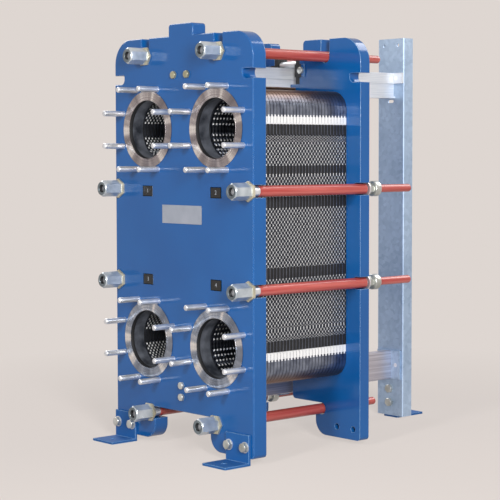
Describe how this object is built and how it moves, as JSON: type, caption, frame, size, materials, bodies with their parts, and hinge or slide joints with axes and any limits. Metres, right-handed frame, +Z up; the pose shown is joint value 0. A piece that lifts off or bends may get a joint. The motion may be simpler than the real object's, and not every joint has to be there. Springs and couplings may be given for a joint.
{
  "type": "plate heat exchanger",
  "caption": "Gasketed plate heat exchanger with a blue frame: ported frame plate, hung plate pack, tightening bolts in red sleeves, rolling pressure plate, support column and feet.",
  "frame": {"origin": "on the floor, at the middle of the whole machine's bounding box", "axes": "+X to the right when facing the ports, +Y from the ports towards the support column, +Z up"},
  "size_m": [0.76, 1.2986, 1.464],
  "materials": {
    "blue_paint": "glossy",
    "galvanised_steel": "satin",
    "aluminium": "satin",
    "gasket_rubber": "matte",
    "stainless_steel": "satin",
    "red_plastic": "satin",
    "dark_iron": "matte",
    "plate_aluminium": "satin",
    "label_plastic": "glossy",
    "zinc_steel": "satin"
  },
  "bodies": {
    "frame": {"bar_bolts": "zinc_steel", "bar_lugs_front": "aluminium", "bar_lugs_rear": "aluminium", "bearing_bushes": "zinc_steel", "carrying_bar": "aluminium", "column_bolts": "zinc_steel", "foot_bolts": "zinc_steel", "foot_washers": "zinc_steel", "frame_plate": "blue_paint", "front_end_plate": "stainless_steel", "front_flanges": "zinc_steel", "front_foot_left": "blue_paint", "front_foot_right": "blue_paint", "front_nuts": "zinc_steel", "guide_bar": "galvanised_steel", "guide_bar_plate": "galvanised_steel", "guide_bolts": "zinc_steel", "name_plate": "plate_aluminium", "port_1_lining": "stainless_steel", "port_1_studs": "zinc_steel", "port_2_lining": "stainless_steel", "port_2_studs": "zinc_steel", "port_3_lining": "stainless_steel", "port_3_studs": "zinc_steel", "port_4_lining": "stainless_steel", "port_4_studs": "zinc_steel", "port_labels": "label_plastic", "rear_foot": "blue_paint", "rear_foot_bolts": "zinc_steel", "support_column": "galvanised_steel", "thread_sleeves": "red_plastic", "tightening_rods": "zinc_steel"},
    "pressure": {"pressure_plate": "blue_paint", "rear_end_plate": "stainless_steel", "rear_end_gasket": "gasket_rubber", "hanger_cheek_left": "dark_iron", "hanger_cheek_right": "dark_iron", "hanger_pin": "zinc_steel", "hanger_bolts": "zinc_steel", "rear_washers": "zinc_steel", "cap_collars": "zinc_steel", "thread_caps": "red_plastic"},
    "roller": {"hanger_roller": "zinc_steel"},
    "pack_1": {"channel_plates_1": "stainless_steel", "plate_gaskets_1": "gasket_rubber"},
    "pack_2": {"channel_plates_2": "stainless_steel", "plate_gaskets_2": "gasket_rubber"},
    "pack_3": {"channel_plates_3": "stainless_steel", "plate_gaskets_3": "gasket_rubber"},
    "pack_4": {"channel_plates_4": "stainless_steel", "plate_gaskets_4": "gasket_rubber"},
    "rear_nut_1": {"rear_nut_1": "zinc_steel"},
    "rear_nut_2": {"rear_nut_2": "zinc_steel"},
    "rear_nut_3": {"rear_nut_3": "zinc_steel"},
    "rear_nut_4": {"rear_nut_4": "zinc_steel"},
    "rear_nut_5": {"rear_nut_5": "zinc_steel"},
    "rear_nut_6": {"rear_nut_6": "zinc_steel"},
    "rear_nut_7": {"rear_nut_7": "zinc_steel"},
    "rear_nut_8": {"rear_nut_8": "zinc_steel"}
  },
  "joints": [
    {"name": "pressure_slide", "type": "slide", "parent": "frame", "child": "pressure", "axis": [0, 1, 0], "range_m": [0, 0.12]},
    {"name": "pack_1_slide", "type": "slide", "parent": "frame", "child": "pack_1", "axis": [0, 1, 0], "range_m": [0, 0.028]},
    {"name": "pack_2_slide", "type": "slide", "parent": "frame", "child": "pack_2", "axis": [0, 1, 0], "range_m": [0, 0.052]},
    {"name": "pack_3_slide", "type": "slide", "parent": "frame", "child": "pack_3", "axis": [0, 1, 0], "range_m": [0, 0.076]},
    {"name": "pack_4_slide", "type": "slide", "parent": "frame", "child": "pack_4", "axis": [0, 1, 0], "range_m": [0, 0.1]},
    {"name": "roller_spin", "type": "hinge", "parent": "pressure", "child": "roller", "pos_m": [0, -0.03004, 1.3408], "axis": [1, 0, 0], "range_deg": [-556, 5]},
    {"name": "rear_nut_1_turn", "type": "hinge", "parent": "pressure", "child": "rear_nut_1", "pos_m": [-0.196, 0.01629, 1.361], "axis": [0, 1, 0], "range_deg": [0, 14410]},
    {"name": "rear_nut_2_turn", "type": "hinge", "parent": "pressure", "child": "rear_nut_2", "pos_m": [-0.35, 0.01629, 0.9], "axis": [0, 1, 0], "range_deg": [0, 14410]},
    {"name": "rear_nut_3_turn", "type": "hinge", "parent": "pressure", "child": "rear_nut_3", "pos_m": [-0.35, 0.01629, 0.574], "axis": [0, 1, 0], "range_deg": [0, 14410]},
    {"name": "rear_nut_4_turn", "type": "hinge", "parent": "pressure", "child": "rear_nut_4", "pos_m": [-0.178, 0.01629, 0.115], "axis": [0, 1, 0], "range_deg": [0, 14410]},
    {"name": "rear_nut_5_turn", "type": "hinge", "parent": "pressure", "child": "rear_nut_5", "pos_m": [0.196, 0.01629, 1.361], "axis": [0, 1, 0], "range_deg": [0, 14410]},
    {"name": "rear_nut_6_turn", "type": "hinge", "parent": "pressure", "child": "rear_nut_6", "pos_m": [0.35, 0.01629, 0.9], "axis": [0, 1, 0], "range_deg": [0, 14410]},
    {"name": "rear_nut_7_turn", "type": "hinge", "parent": "pressure", "child": "rear_nut_7", "pos_m": [0.35, 0.01629, 0.574], "axis": [0, 1, 0], "range_deg": [0, 14410]},
    {"name": "rear_nut_8_turn", "type": "hinge", "parent": "pressure", "child": "rear_nut_8", "pos_m": [0.178, 0.01629, 0.115], "axis": [0, 1, 0], "range_deg": [0, 14410]}
  ],
  "couplings": [
    {"joint": "pack_1_slide", "follows": "pressure_slide", "ratio": 0.2},
    {"joint": "pack_2_slide", "follows": "pressure_slide", "ratio": 0.4},
    {"joint": "pack_3_slide", "follows": "pressure_slide", "ratio": 0.6},
    {"joint": "pack_4_slide", "follows": "pressure_slide", "ratio": 0.8},
    {"joint": "roller_spin", "follows": "pressure_slide", "rad_per_m": -80},
    {"joint": "rear_nut_1_turn", "follows": "pressure_slide", "rad_per_m": 2094.4},
    {"joint": "rear_nut_2_turn", "follows": "pressure_slide", "rad_per_m": 2094.4},
    {"joint": "rear_nut_3_turn", "follows": "pressure_slide", "rad_per_m": 2094.4},
    {"joint": "rear_nut_4_turn", "follows": "pressure_slide", "rad_per_m": 2094.4},
    {"joint": "rear_nut_5_turn", "follows": "pressure_slide", "rad_per_m": 2094.4},
    {"joint": "rear_nut_6_turn", "follows": "pressure_slide", "rad_per_m": 2094.4},
    {"joint": "rear_nut_7_turn", "follows": "pressure_slide", "rad_per_m": 2094.4},
    {"joint": "rear_nut_8_turn", "follows": "pressure_slide", "rad_per_m": 2094.4}
  ]
}
